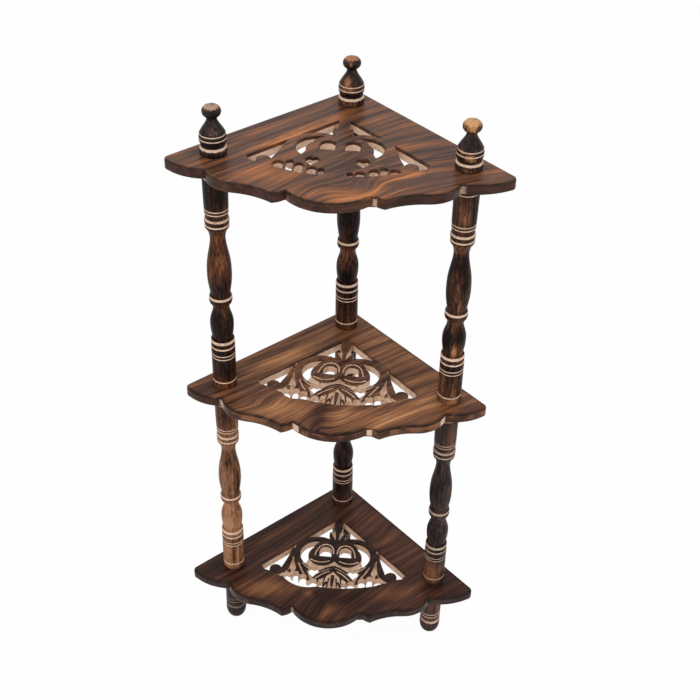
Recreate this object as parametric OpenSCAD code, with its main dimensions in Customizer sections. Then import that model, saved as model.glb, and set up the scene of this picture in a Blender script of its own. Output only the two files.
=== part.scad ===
// Three-tier corner shelf: pierced hardwood boards on turned posts, screwed together with hidden studs.
// Millimetres. The origin is on the floor, under the middle of the shelf's plan. The front faces -Y
// and the square corner that goes into the corner of a room points to +Y.

/* [Boards] */
// Length of each straight back edge, from the corner to the rounded tip
edge_len = 230; // [210:1:250]
// Depth of a board from its rounded back corner to the middle of its front edge
board_depth = 231; // [222:1:245]
// How much further than that the hand-sawn bottom board reaches to the front
bottom_reach = 5; // [0:0.5:8]
// The same for the middle board, which is shallower
middle_reach = -6; // [-8:0.5:0]
// The same for the top board
top_reach = 1.5; // [0:0.5:4]
// How far the front edge of the bottom board stands off to the right of the middle
bottom_shift = -2.5; // [-4:0.5:4]
// The same for the middle board
middle_shift = -1; // [-4:0.5:4]
// The same for the top board
top_shift = -5; // [-6:0.5:4]
// Thickness of a board
board_t = 11.5; // [10:0.5:20]
// Radius of the back corner in plan
corner_r = 3; // [1:0.5:6]
// Radius of the rounded side tips
tip_r = 6; // [4:0.5:9]

/* [Scalloped front edge] */
// Width of the middle bulge between its two notches
bulge_w = 80; // [70:1:86]
// How far the middle bulge stands in front of its notches
bulge_rise = 18.5; // [12:0.5:22]
// Distance between the two points beside the bulge
point_span = 104; // [98:1:112]
// How far those points stand in front of the notches
point_rise = 7; // [4:0.5:9]
// Distance between the two outer notches, below the side posts
outer_span = 239; // [232:1:246]
// How far the outer notches lie behind the inner ones
outer_set = 29; // [24:0.5:32]

/* [Posts] */
// Diameter of the turned posts
post_d = 25.4; // [22:0.2:28]
// Distance from a straight back edge to the centre of a post
post_inset = 23.3; // [20:0.1:26]
// Distance between the back post and a side post
post_spacing = 171; // [160:1:180]
// Clear height between two boards, which is the length of a spindle
bay_h = 268.5; // [240:0.5:320]

/* [Spindle turning] */
// Height of the plain foot of a spindle
base_h = 54; // [44:0.5:60]
// Height of the low bead over the plain foot
low_bead_h = 6.7; // [5:0.1:9]
// Height of the small vase
small_vase_h = 39; // [34:0.5:50]
// Radius of the small vase's neck
small_neck_r = 8.6; // [8:0.1:10]
// Height of the bead between the vases
mid_bead_h = 10; // [7:0.5:13]
// Height of the big vase
big_vase_h = 67.5; // [56:0.5:72]
// Radius of the big vase's neck
big_neck_r = 7.8; // [7.2:0.1:10]
// Height of the flare over the big vase
flare_h = 11; // [8:0.5:14]
// Height of each of the twin beads under the plain head
twin_bead_h = 6; // [4:0.5:8]
// Width and depth of the fine cut rings
ring_cut = 0.8; // [0.4:0.1:1.2]

/* [Finial turning] */
// Height of a finial
finial_h = 48.6; // [46:0.2:60]
// Height of the finial's base disc
disc_h = 8; // [6:0.5:10]
// Radius of the finial's base disc
disc_r = 13.4; // [13:0.1:15]
// Radius of the finial's neck
finial_neck_r = 4.9; // [4.5:0.1:7]
// Radius of the flattened knob on top
knob_r = 9.3; // [7:0.1:11]
// Height of the knob, before its top is cut flat
knob_h = 14; // [12:0.5:16]

/* [Foot turning] */
// Height of a foot, from the floor to the bottom board
foot_h = 79; // [60:1:100]
// Height of the foot's rounded end, up to its shoulder
toe_h = 21.5; // [20:0.5:30]
// Radius of the flat that stands on the floor
toe_flat_r = 6; // [4:0.5:8]

/* [Pierced panel] */
// Solid border between a straight back edge and the pierced panel
fret_border = 47.4; // [44:0.2:54]
// Depth of the pierced panel from its back corner to its front arc
fret_depth = 116.5; // [100:0.5:120]
// Width of the stem at the back of the panel
stem_w = 11; // [8:0.5:13]
// Outer radius of the two scroll rings
ring_r = 28; // [26.5:0.5:28.5]
// Width of the band of a scroll ring
ring_band = 7.5; // [6:0.5:9]
// Outer radius of the eye arches
eye_r = 15.2; // [14:0.2:16]
// Width of the band of an eye arch
eye_band = 7.8; // [6.4:0.2:9]
// Radius of the round buds in the side wings
bud_r = 7; // [5:0.5:7.5]

/* [Screws] */
// Diameter of the steel studs
stud_d = 6; // [5:0.5:8]
// Length that a stud reaches into the wood on each side of a board
stud_reach = 18; // [12:1:24]
// Gap around a stud in its hole
stud_gap = 0.1; // [0.05:0.05:0.3]
// Gap past the end of a stud in its hole
stud_end_gap = 0.5; // [0.3:0.1:0.9]

/* [Hidden] */
diagonal = sqrt(2);
post_r = post_d / 2;
$fn = 64;

// Plan: the straight back edges meet at (0, corner_y), just behind the rounded corner, and the deepest
// board sets the middle of the plan
plan_depth = board_depth + max(bottom_reach, middle_reach, top_reach);
corner_y = plan_depth / 2 + corner_r * (diagonal - 1);
front_y = plan_depth / 2 - board_depth;
left = -1;
back = 0;
right = 1;

// Heights of the undersides of the boards
bottom_z = foot_h;
middle_z = bottom_z + board_t + bay_h;
top_z = middle_z + board_t + bay_h;

// Place of a post in plan: side is left, back or right
back_post_y = corner_y - post_inset * diagonal;
function post_xy(side) = [
    side * post_spacing / diagonal,
    back_post_y - abs(side) * post_spacing / diagonal
];

// Points of a round arc about a centre
function arc(c, r, a0, a1, n) = [
    for (i = [0:n]) let (a = a0 + (a1 - a0) * i / n) c + r * [cos(a), sin(a)]
];

// Points of the arc from p to q that bows by s to the right of the way from p to q, without q itself
function bow(p, q, s, n) =
    let (chord = norm(q - p), along = (q - p) / chord, out = [along[1], -along[0]])
    let (half = 2 * atan(2 * s / chord), r = chord / (2 * sin(half)))
    [
        for (i = [0:n - 1]) let (a = -half + 2 * half * i / n)
            (p + q) / 2 + r * sin(a) * along + r * (cos(a) - cos(half)) * out
    ];

// The same points on the other side of the plan, in the other order
function mirrored(points) = [
    for (i = [len(points) - 1:-1:0]) [-points[i][0], points[i][1]]
];

// Outline of a board that reaches further to the front and whose front edge stands off to one side. The
// bulge takes all of the reach, and the notches, the points and the tips take a share of it.
notch_share = 0.6;
tip_share = 0.8;
shoulder_in = [-6, -4];
tip_start = 135;
tip_end = 245;
corner_c = [0, corner_y - corner_r * diagonal];
function left_edge(reach, shift) =
    let (notch = [shift - bulge_w / 2, front_y + bulge_rise - notch_share * reach])
    let (point = [shift - point_span / 2, notch[1] - point_rise])
    let (outer = [shift - outer_span / 2, notch[1] + outer_set])
    let (shoulder = (outer + point) / 2 + shoulder_in)
    let (end = [0, corner_y] - (edge_len + tip_share * reach) * [1, 1] / diagonal)
    let (tip_c = end + tip_r * [1, -1] / diagonal)
    concat(
        arc(tip_c, tip_r, tip_start, tip_end, 8),
        bow(tip_c + tip_r * [cos(tip_end), sin(tip_end)], outer, 4, 7),
        bow(outer, shoulder, 5, 7),
        bow(shoulder, point, -3, 6),
        bow(point, notch, 1, 3)
    );
function outline(reach, shift) =
    let (notch_y = front_y + bulge_rise - notch_share * reach)
    let (rise = bulge_rise + (1 - notch_share) * reach)
    concat(
        left_edge(reach, shift),
        bow([shift - bulge_w / 2, notch_y], [shift + bulge_w / 2, notch_y], rise, 18),
        mirrored(left_edge(reach, -shift)),
        arc(corner_c, corner_r, 45, tip_start, 6)
    );

// Pierced panel: its pattern is drawn on a panel 115 deep whose back corner is at (0, 87)
// and is scaled to the real depth
drawn_depth = 115;
drawn_apex = 87;
fret_scale = fret_depth / drawn_depth;
fret_apex_y = corner_y - fret_border * diagonal;
// Each board's panel was marked out by hand: how far it stands to the right and to the back of the place
// given by the border, and its turn in degrees
bottom_panel = [0, 0.3, 0];
middle_panel = [1, 6.7, -2];
top_panel = [-2.5, -0.6, 0];
// Front row of a board, left and right of the middle: how much further back its arches reach than drawn,
// and the stretch where it is open from end to end, with the sag of that stretch to the front
bottom_row = [[4, -59, -14, 6], [4, -58, -36, 1.5]];
middle_row = [[4, -58, -34, 4.5], [4, -56, -34, 2.6]];
top_row = [[5, 0, 0, 0], [0, 0, 0, 0]];
front_gap = 7;
// The front arc is drawn about a point near the back post
panel_c = [0, 121];
panel_r = panel_c[1] - drawn_apex + drawn_depth;
ring_c = [-22, 26];
ring_in = ring_r - ring_band;
eye_c = [-12, 31.5];
eye_in = eye_r - eye_band;
lid_c = [-16, 22.3];
lid_r = 16.3;
lid_top = 21.5;
bud_c = [-69, -3.5];
// The heart reaches further back by this on the boards whose carving faces up
heart_lift = 2.5;
// Arched openings along the front arc: place, width and height of the top of each arch
arches = [[-54.5, 10, -10], [-44, 7, -8], [-35, 8.5, -12], [-22.5, 9, -17.5], [-13.5, 5.5, -20.5]];

// Lens shape between two arcs, from point p to point q
module leaf(p, q, width) polygon(concat(bow(p, q, width / 2, 8), bow(q, p, width / 2, 8)));

// Opening beside the stem, over the scroll ring, with a small leaf at the foot of the stem
module stem_opening() difference() {
    polygon([
        [-stem_w / 2, drawn_apex - stem_w / 2],
        [ring_c[0] - 17, drawn_apex + ring_c[0] - 17],
        [-stem_w / 2, ring_c[1] + 20]
    ]);
    translate(ring_c) circle(ring_r);
    leaf([-8.5, 66], [-3, 46], 8);
}

// Crescent between the scroll ring and the eye arch
module crescent() difference() {
    translate(ring_c) circle(ring_in);
    translate(eye_c) circle(eye_r);
    polygon([
        [eye_c[0] - eye_r + 1, eye_c[1]], [lid_c[0] - lid_r + 1, lid_top - 3], [lid_c[0], lid_top - 12],
        [ring_c[0] + ring_in + 1, lid_top - 12], [ring_c[0] + ring_in + 1, eye_c[1]]
    ]);
    translate(lid_c) circle(lid_r);
    polygon([[lid_c[0] - 15, lid_top - 2], [lid_c[0] - 20, lid_top - 14], [0, 2], [0, lid_top - 2]]);
}

// Arched opening under the eye arch, closed below by the leaf that lies across it
module eye_opening() {
    translate(eye_c) circle(eye_in);
    translate([eye_c[0] - eye_in, lid_top]) square([2 * eye_in, eye_c[1] - lid_top]);
}

// Small heart-shaped opening in front of that leaf
module heart_opening(lift) polygon([
    [-30, 2 + lift], [-27, 5.5 + lift], [-23.5, 3.5 + lift], [-20, 5.5 + lift], [-17, 2.5 + lift],
    [-18.5, -4], [-24, -9.5], [-29.5, -4]
]);

// Opening of the side wing, around a round bud
module wing_opening() difference() {
    polygon([
        [-51.5, drawn_apex - 51.5], [-85.5, drawn_apex - 85.5], [-83, -6], [-77, -8], [bud_c[0], bud_c[1]],
        [-63, -4], [-61, 2], [-56, 17]
    ]);
    translate(bud_c) circle(bud_r);
}

// Row of small arches along the front
module arch_row(back) intersection() {
    translate(panel_c) circle(panel_r, $fn = 180);
    for (a = arches) translate([a[0], a[2] + back - a[1] / 2]) {
        circle(a[1] / 2);
        translate([-a[1] / 2, -drawn_depth]) square([a[1], drawn_depth]);
    }
}

// Stretch of the front row that is open from end to end, along the front arc between two places
function on_arc(x, r) = [x, panel_c[1] - sqrt(r * r - x * x)];
module open_stretch(from, to, sag) polygon(concat(
    bow(
        on_arc(from, panel_r - 1), on_arc(to, panel_r - 1),
        sag + 1 + pow(to - from, 2) / (8 * panel_r), 10
    ),
    [on_arc(to, panel_r - 1)],
    bow(on_arc(to - 2, panel_r - front_gap), on_arc(from + 2, panel_r - front_gap), -0.8, 6),
    [on_arc(from + 2, panel_r - front_gap)]
));

module half_pattern(lift, row) {
    stem_opening();
    crescent();
    eye_opening();
    heart_opening(lift);
    wing_opening();
    arch_row(row[0]);
    if (row[2] > row[1]) open_stretch(row[1], row[2], row[3]);
}

// One board: scalloped front, square back corner, pierced panel and three stud holes
module board(z, reach, shift, place, lift, rows) color("saddlebrown") translate([0, 0, z]) difference() {
    linear_extrude(board_t) polygon(outline(reach, shift));
    translate([place[0], fret_apex_y + place[1] - drawn_apex * fret_scale, -1]) rotate(place[2])
        linear_extrude(board_t + 2) scale([fret_scale, fret_scale])
        for (side = [0, 1]) mirror([side, 0]) half_pattern(lift, rows[side]);
    for (side = [left, back, right]) translate([post_xy(side)[0], post_xy(side)[1], -1])
        cylinder(h = board_t + 2, d = stud_d + 2 * stud_gap);
}

// Turned profiles are lists of [radius, height], from the bottom up
function bead(z, h, r0, r1) = [
    for (i = [0:8]) [r0 + (r1 - r0) * sin(180 * i / 8), z + h * (1 - cos(180 * i / 8)) / 2]
];
// Vase: swells from r0 to r1 over the height up, then draws in to r2 at the top
vase_fullness = 1.3;
function vase(z, h, up, r0, r1, r2, fullness = vase_fullness) = concat(
    [for (i = [0:5]) [r0 + (r1 - r0) * sin(90 * i / 5), z + up * i / 5]],
    [for (i = [1:10]) let (t = i / 10)
        [r2 + (r1 - r2) * (1 + cos(180 * pow(t, fullness))) / 2, z + up + (h - up) * t]]
);
function ring_groove(z, r) = [
    [r, z - ring_cut / 2], [r - ring_cut / 2, z], [r, z + ring_cut / 2]
];

// Spindle heights, from the bottom up; the plain head takes what is left
cove_h = 1.8;
low_bead_z = base_h + cove_h;
small_vase_z = low_bead_z + low_bead_h;
neck_h = 6;
mid_bead_z = small_vase_z + small_vase_h + neck_h;
big_vase_z = mid_bead_z + mid_bead_h + cove_h;
flare_z = big_vase_z + big_vase_h;
twin_bead_z = flare_z + flare_h;
head_z = twin_bead_z + 2 * twin_bead_h;
edge_r = 0.6;
spindle_profile = concat(
    [[0, 0], [post_r - edge_r, 0], [post_r, edge_r]],
    ring_groove(base_h - 45, post_r),
    ring_groove(base_h - 14.1, post_r),
    ring_groove(base_h - 10, post_r),
    [[post_r, base_h], [post_r - 1.2, base_h + 0.6]],
    bead(low_bead_z, low_bead_h, post_r - 1.4, post_r),
    vase(small_vase_z, small_vase_h, small_vase_h * 0.46, post_r - 2.4, post_r - 0.3, small_neck_r),
    [[small_neck_r + 0.3, mid_bead_z - neck_h / 2]],
    bead(mid_bead_z, mid_bead_h, small_neck_r + 2, post_r - 0.6),
    vase(big_vase_z, big_vase_h, big_vase_h * 0.35, post_r - 2.6, post_r, big_neck_r),
    [[big_neck_r + 1.2, flare_z + flare_h * 0.6]],
    bead(twin_bead_z, twin_bead_h, post_r - 1.4, post_r - 0.3),
    bead(twin_bead_z + twin_bead_h, twin_bead_h, post_r - 1.2, post_r - 0.1),
    [[post_r - 1.4, head_z], [post_r - 1.4, head_z + 4.5]],
    [[post_r - 0.7, head_z + 5]],
    ring_groove(head_z + 6.6, post_r - 0.7),
    ring_groove(head_z + 10.4, post_r - 0.5),
    [[post_r, (head_z + bay_h) / 2]],
    ring_groove(bay_h - 13, post_r),
    [[post_r, bay_h - edge_r], [post_r - edge_r, bay_h], [0, bay_h]]
);

// Finial: base disc, full vase, flattened knob with its top cut flat
vase_r = post_r + 0.5;
vase_belly = 6.4;
vase_foot_r = 11.4;
body_fullness = 1.2;
cove_top = disc_h + 1.6;
knob_cut = 45;
knob_low = -62;
knob_z = finial_h - 0.2 - sin(knob_cut) * knob_h / 2;
knob_from = knob_z + sin(knob_low) * knob_h / 2;
finial_profile = concat(
    [[0, 0], [disc_r - 0.6, 0], [disc_r, disc_h * 0.3], [disc_r, disc_h * 0.6]],
    [[disc_r - 0.8, disc_h], [vase_foot_r + 0.7, disc_h + 1]],
    vase(cove_top, knob_from - cove_top, vase_belly, vase_foot_r, vase_r, finial_neck_r,
         body_fullness),
    [for (a = [knob_low + 8:11:knob_cut]) [knob_r * cos(a), knob_z + sin(a) * knob_h / 2]],
    [[knob_r * cos(knob_cut), finial_h - 0.2], [0, finial_h]]
);

// Foot: rounded toe with a flat to stand on, shoulder, two fine rings, plain shank
toe_r = post_r - 0.4;
toe_wide = 0.66;
foot_profile = concat(
    [[0, 0]],
    [for (i = [0:8]) let (t = i / 8)
        [toe_flat_r + (toe_r - toe_flat_r) * sin(90 * t), toe_h * toe_wide * (1 - cos(90 * t))]],
    [[toe_r, toe_h - 3.5], [toe_r - 1.9, toe_h], [toe_r - 0.3, toe_h + 1.4]],
    ring_groove(toe_h + 8.6, toe_r - 0.2),
    ring_groove(toe_h + 13.4, toe_r - 0.2),
    [[toe_r - 0.2, foot_h], [0, foot_h]]
);

// Blind stud hole into the end of a turned piece
hole_r = stud_d / 2 + stud_gap;
module stud_hole(end_z, way) {
    depth = stud_reach + stud_end_gap;
    translate([0, 0, way > 0 ? end_z - 1 : end_z - depth]) cylinder(h = depth + 1, r = hole_r);
}

module at_post(side, z) translate([post_xy(side)[0], post_xy(side)[1], z]) children();

module foot(side) color("#2e211c") at_post(side, 0) difference() {
    rotate_extrude() polygon(foot_profile);
    stud_hole(foot_h, -1);
}

module spindle(side, z) color("#3a2620") at_post(side, z) difference() {
    rotate_extrude() polygon(spindle_profile);
    stud_hole(0, 1);
    stud_hole(bay_h, -1);
}

module finial(side) color("#46301f") at_post(side, top_z + board_t) difference() {
    rotate_extrude() polygon(finial_profile);
    stud_hole(0, 1);
}

// Double-ended stud through the board whose underside is at z
stud_chamfer = 0.8;
module stud(side, z) color("silver") at_post(side, z - stud_reach) rotate_extrude() polygon([
    [0, 0], [stud_d / 2 - stud_chamfer, 0], [stud_d / 2, stud_chamfer],
    [stud_d / 2, board_t + 2 * stud_reach - stud_chamfer],
    [stud_d / 2 - stud_chamfer, board_t + 2 * stud_reach], [0, board_t + 2 * stud_reach]
]);

board(bottom_z, bottom_reach, bottom_shift, bottom_panel, heart_lift, bottom_row);  // shelf_bottom
board(middle_z, middle_reach, middle_shift, middle_panel, heart_lift, middle_row);  // shelf_middle
board(top_z, top_reach, top_shift, top_panel, 0, top_row);  // shelf_top
foot(left);  // foot_left
foot(back);  // foot_back
foot(right);  // foot_right
spindle(left, bottom_z + board_t);  // lower_spindle_left
spindle(back, bottom_z + board_t);  // lower_spindle_back
spindle(right, bottom_z + board_t);  // lower_spindle_right
spindle(left, middle_z + board_t);  // upper_spindle_left
spindle(back, middle_z + board_t);  // upper_spindle_back
spindle(right, middle_z + board_t);  // upper_spindle_right
finial(left);  // finial_left
finial(back);  // finial_back
finial(right);  // finial_right
stud(left, bottom_z);  // bottom_stud_left
stud(back, bottom_z);  // bottom_stud_back
stud(right, bottom_z);  // bottom_stud_right
stud(left, middle_z);  // middle_stud_left
stud(back, middle_z);  // middle_stud_back
stud(right, middle_z);  // middle_stud_right
stud(left, top_z);  // top_stud_left
stud(back, top_z);  // top_stud_back
stud(right, top_z);  // top_stud_right
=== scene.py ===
import math

import bmesh
import bpy
import numpy as np
from mathutils import Matrix, Vector, geometry, kdtree


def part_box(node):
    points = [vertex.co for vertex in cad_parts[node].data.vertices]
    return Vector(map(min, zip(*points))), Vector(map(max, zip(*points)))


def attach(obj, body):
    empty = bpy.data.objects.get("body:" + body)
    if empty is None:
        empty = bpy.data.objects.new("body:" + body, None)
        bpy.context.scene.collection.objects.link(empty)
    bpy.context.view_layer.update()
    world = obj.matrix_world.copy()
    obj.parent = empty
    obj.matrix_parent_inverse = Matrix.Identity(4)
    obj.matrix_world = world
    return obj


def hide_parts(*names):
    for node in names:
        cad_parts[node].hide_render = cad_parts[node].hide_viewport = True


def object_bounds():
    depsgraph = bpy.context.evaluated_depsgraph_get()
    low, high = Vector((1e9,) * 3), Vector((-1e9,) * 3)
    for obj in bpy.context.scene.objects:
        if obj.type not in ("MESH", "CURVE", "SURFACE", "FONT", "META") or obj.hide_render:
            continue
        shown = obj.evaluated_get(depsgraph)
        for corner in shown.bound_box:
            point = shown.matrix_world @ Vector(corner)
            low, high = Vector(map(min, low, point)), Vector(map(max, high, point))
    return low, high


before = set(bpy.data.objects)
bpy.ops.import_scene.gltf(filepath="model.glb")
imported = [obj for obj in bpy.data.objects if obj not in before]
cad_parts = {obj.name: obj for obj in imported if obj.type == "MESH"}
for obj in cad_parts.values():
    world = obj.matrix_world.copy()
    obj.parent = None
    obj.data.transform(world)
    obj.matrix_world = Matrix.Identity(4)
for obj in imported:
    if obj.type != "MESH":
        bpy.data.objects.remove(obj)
cad_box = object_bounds()
MM = 0.001

# Camera: a little to the right of the shelf and well above it, looking down at the boards.
# The lens is a long one, held very slightly out of level.
camera_place = Vector((0.0865, -1.0876, 1.2343))
camera_azimuth, camera_elevation, camera_roll = (math.radians(a) for a in (3.963, 37.438, 1.442))
camera_lens = 65.17
backward = Vector((
    math.sin(camera_azimuth) * math.cos(camera_elevation),
    -math.cos(camera_azimuth) * math.cos(camera_elevation),
    math.sin(camera_elevation),
))
level = Vector((math.cos(camera_azimuth), math.sin(camera_azimuth), 0))
upward = backward.cross(level)
aside = level * math.cos(camera_roll) + upward * math.sin(camera_roll)
upright = upward * math.cos(camera_roll) - level * math.sin(camera_roll)
camera = bpy.data.objects.new("camera", bpy.data.cameras.new("camera"))
bpy.context.scene.collection.objects.link(camera)
camera.data.lens = camera_lens
camera.matrix_world = (
    Matrix.Translation(camera_place) @ Matrix((aside, upright, backward)).transposed().to_4x4()
)
bpy.context.scene.camera = camera

# Studio: a white floor and white surroundings, with large soft lights in front and above.
# The camera and every reflection see plain white; the floor keeps a faint shadow at the feet.
bpy.context.scene.view_settings.view_transform = "Standard"


def fit(tree, kind, sockets=(), **settings):
    """Adds a shader node. sockets pairs an input's name or number with a value or an output."""
    node = tree.nodes.new("ShaderNode" + kind)
    for key, value in settings.items():
        setattr(node, key, value)
    for key, value in dict(sockets).items():
        if isinstance(value, bpy.types.NodeSocket):
            tree.links.new(value, node.inputs[key])
        else:
            node.inputs[key].default_value = value
    return node


def calc(tree, operation, a, b=0.0, clamp=False):
    """The output of one step of arithmetic."""
    return fit(tree, "Math", {0: a, 1: b}, operation=operation, use_clamp=clamp).outputs[0]


def seen_directly(tree):
    """1 for rays from the camera, a reflection or a clear material, and 0 for light on a surface."""
    path = fit(tree, "LightPath").outputs
    seen = calc(tree, "MAXIMUM", path["Is Camera Ray"], path["Is Glossy Ray"])
    return calc(tree, "MAXIMUM", seen, path["Is Transmission Ray"])


white = (1, 1, 1, 1)
surround_light = 0.6
world = bpy.data.worlds.new("studio")
bpy.context.scene.world = world
world.use_nodes = True
air = world.node_tree
air.nodes.clear()
brightness = fit(air, "MapRange", {
    "Value": seen_directly(air), "To Min": surround_light, "To Max": 1.0,
}).outputs[0]
white_air = fit(air, "Background", {"Color": white, "Strength": brightness})
fit(air, "OutputWorld", {"Surface": white_air.outputs[0]})

floor_size = 8.0
floor_colour = (0.95, 0.95, 0.95, 1)
floor_shadow = 0.03
floor_mesh = bpy.data.meshes.new("floor")
half = floor_size / 2
floor_mesh.from_pydata(
    [(-half, -half, 0), (half, -half, 0), (half, half, 0), (-half, half, 0)], [], [(0, 1, 2, 3)]
)
floor = bpy.data.objects.new("floor", floor_mesh)
bpy.context.scene.collection.objects.link(floor)
floor_paint = bpy.data.materials.new("white_floor")
floor_paint.use_nodes = True
paint = floor_paint.node_tree
paint.nodes.clear()
matt = fit(paint, "BsdfDiffuse", {"Color": floor_colour})
plain_white = fit(paint, "Emission", {"Color": white, "Strength": 1.0})
show_white = calc(paint, "MULTIPLY", seen_directly(paint), 1 - floor_shadow)
floor_look = fit(paint, "MixShader", {0: show_white, 1: matt.outputs[0], 2: plain_white.outputs[0]})
fit(paint, "OutputMaterial", {"Surface": floor_look.outputs[0]})
floor_mesh.materials.append(floor_paint)
shelf_middle_place = Vector((0, 0, 0.38))


def soft_light(name, place, size, watts):
    """A square soft light that points at the middle of the shelf."""
    lamp = bpy.data.objects.new(name, bpy.data.lights.new(name, "AREA"))
    lamp.data.size = size
    lamp.data.energy = watts
    lamp.location = place
    aim = shelf_middle_place - lamp.location
    lamp.rotation_euler = aim.to_track_quat("-Z", "Y").to_euler()
    bpy.context.scene.collection.objects.link(lamp)


soft_light("light_front_left", (-1.3, -1.5, 2.0), 1.4, 15)
soft_light("light_front_right", (1.6, -1.2, 1.4), 1.6, 8)
soft_light("light_above", (0.2, 0.3, 2.4), 1.8, 9)

# Boards: three shelves of brown hardwood, sawn to one pattern with a scalloped front and a pierced panel
# of scrolls and leaves. The edges are rounded over and everything is scorched dark with a flame. The
# carved face looks up on the two lower boards and down on the top one, whose plain face is up.
board_nodes = ["shelf_bottom", "shelf_middle", "shelf_top"]
board_low, board_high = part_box("shelf_top")
board_t = (board_high.z - board_low.z) / MM
edge_round = 1.8
corner_turn = math.radians(28)
straight_ratio = 3  # a side this many times as long as the next one is a straight run


def plan_loops(node):
    """Closed outlines of a board's upper face in millimetres, the edge first, then its openings."""
    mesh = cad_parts[node].data
    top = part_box(node)[1].z
    sides = set()
    for face in mesh.polygons:
        corners = [mesh.vertices[i].co for i in face.vertices]
        if min(c.z for c in corners) > top - 1e-5:
            keys = [(round(c.x / MM, 3), round(c.y / MM, 3)) for c in corners]
            sides.update(zip(keys, keys[1:] + keys[:1]))
    following = {a: b for a, b in sides if (b, a) not in sides}
    loops = []
    while following:
        start = min(following)
        loop = [start]
        while following[loop[-1]] != start:
            loop.append(following.pop(loop[-1]))
        following.pop(loop[-1])
        loops.append(np.array(loop))
    return sorted(loops, key=lambda p: -np.ptp(p[:, 0]))


def fill_curve(points, spacing, closed=True):
    """The points with their round stretches filled in at about the given spacing and corners kept."""
    count = len(points)
    way = np.roll(points, -1, 0) - points
    length = np.linalg.norm(way[:, :2], axis=1)[:, None] + 1e-9
    unit = way / length
    last_unit, last_length = np.roll(unit, 1, 0), np.roll(length, 1, 0)
    if not closed:
        last_unit[0], unit[-1] = unit[0], unit[-2]
    mean = (last_unit * length + unit * last_length) / (length + last_length)
    mean = np.where(length > straight_ratio * last_length, unit, mean)
    mean = np.where(last_length > straight_ratio * length, last_unit, mean)
    bend = np.clip((last_unit[:, :2] * unit[:, :2]).sum(1), -1, 1)
    corner = (np.arccos(bend) > corner_turn) & closed
    filled = []
    for i in range(count if closed else count - 1):
        j = (i + 1) % count
        here, there, span = points[i], points[j], length[i]
        out = unit[i] if corner[i] else mean[i]
        into = unit[i] if corner[j] else mean[j]
        pieces = max(1, round(float(span[0]) / spacing))
        for t in np.arange(pieces) / pieces:
            filled.append(
                here * (1 + 2 * t) * (1 - t) ** 2 + there * t * t * (3 - 2 * t)
                + span * (out * t * (1 - t) ** 2 - into * t * t * (1 - t))
            )
    if not closed:
        filled.append(points[-1])
    return np.array(filled)


def within(points, loops):
    """Which points lie inside the edge and outside the openings."""
    hit = np.zeros(len(points), bool)
    x, y = points[:, 0], points[:, 1]
    for loop in loops:
        for (x0, y0), (x1, y1) in zip(loop, np.roll(loop, -1, 0)):
            if y0 != y1:
                hit ^= ((y0 > y) != (y1 > y)) & (x < x0 + (y - y0) * (x1 - x0) / (y1 - y0))
    return hit


def gap_to(points, loops):
    """Distance from each point to the nearest of the loops' points."""
    every = np.concatenate(loops)
    tree = kdtree.KDTree(len(every))
    for i, (x, y) in enumerate(every):
        tree.insert((x, y, 0), i)
    tree.balance()
    return np.array([tree.find((x, y, 0))[2] for x, y in points])


def ease(value, low, high):
    """0 below low, 1 above high, and a soft step between."""
    t = np.clip((value - low) / (high - low), 0, 1)
    return t * t * (3 - 2 * t)


# The carving is drawn on the left half of a panel whose back corner is at (0, 87), each stroke as points
# of x, y and half width, with the depth of its top below the board's face. Every board's panel was marked
# out by hand, so each has its own place and turn.
panel_places = {
    "shelf_bottom": (0, -35.62, 0), "shelf_middle": (1, -29.22, -2), "shelf_top": (-2.5, -36.52, 0),
}
panel_depth, drawn_depth = 116.5, 115
panel_scale = panel_depth / drawn_depth
char_depths = {"shelf_bottom": 2.8, "shelf_middle": 4.6, "shelf_top": 3.0}
panel_back = 87
panel_arc_y, panel_arc_r = 121, 149
ground_depth = 4.2
strokes = [
    (0.0, [(0, 95, 5.5), (0, 72, 5.5), (0, 64, 3.6), (0, 54, 2.6), (0, 47, 2)]),
    (0.9, [(-3.5, 48, 2.6), (-7, 54, 2.6), (-9, 63.5, 0.8)]),
    (0.4, [(0, 46, 3), (-8, 49, 3.4), (-16, 50.3, 3.7), (-24, 50.2, 3.8), (-32, 48, 3.9),
           (-39, 43.5, 4), (-44.5, 36, 4), (-46.3, 27, 3.9), (-45, 18, 3.8), (-41, 10, 3.8),
           (-36, 5, 3.5), (-30, 1, 2.6)]),
    (0.3, [(-29.5, 22, 2), (-26, 25, 6.4), (-25, 31, 6.2), (-22.2, 37.6, 5.6), (-17.6, 42, 4.8),
           (-12, 43.2, 4.5), (-6, 42, 4.6), (-1.5, 37, 4.4), (0, 30, 5), (0, 23, 5)]),
    (0.0, [(-31.5, 20.6, 0.8), (-24, 16.6, 5.2), (-16, 14.6, 7.6), (-8, 16, 6), (0, 20, 2)]),
    (0.3, [(-45, 14, 3.5), (-41, 4, 4.5), (-35, -7, 4.7), (-27, -19, 0.8)]),
    (0.2, [(0, 3, 2.2), (-6, -2, 3.6), (-14, -8, 4.6), (-20, -13, 3.6), (-26, -18, 0.8)]),
    (0.9, [(-1, 7.5, 1.2), (-8, 3, 2.2), (-15, -1.5, 1.2)]),
    (0.3, [(-52, 32, 1.5), (-53.5, 20, 2.5), (-56, 8, 4), (-60, -2, 5), (-66, -7, 4.5)]),
    (0.2, [(-69, -3.5, 7), (-68.9, -3.6, 7)]),
    (1.2, [(-43.5, 0, 1.4), (-44.5, -8, 2.4), (-45, -17, 0.6)]),
    (1.2, [(-52, -2, 1), (-53, -10, 2), (-52, -17, 0.6)]),
    (1.4, [(0, -7, 1.5), (0, -16, 1.6), (0, -25, 0.4)]),
    (1.6, [(-7, -17, 1), (-9, -21, 1.2), (-11, -26, 0.4)]),
]
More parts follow.
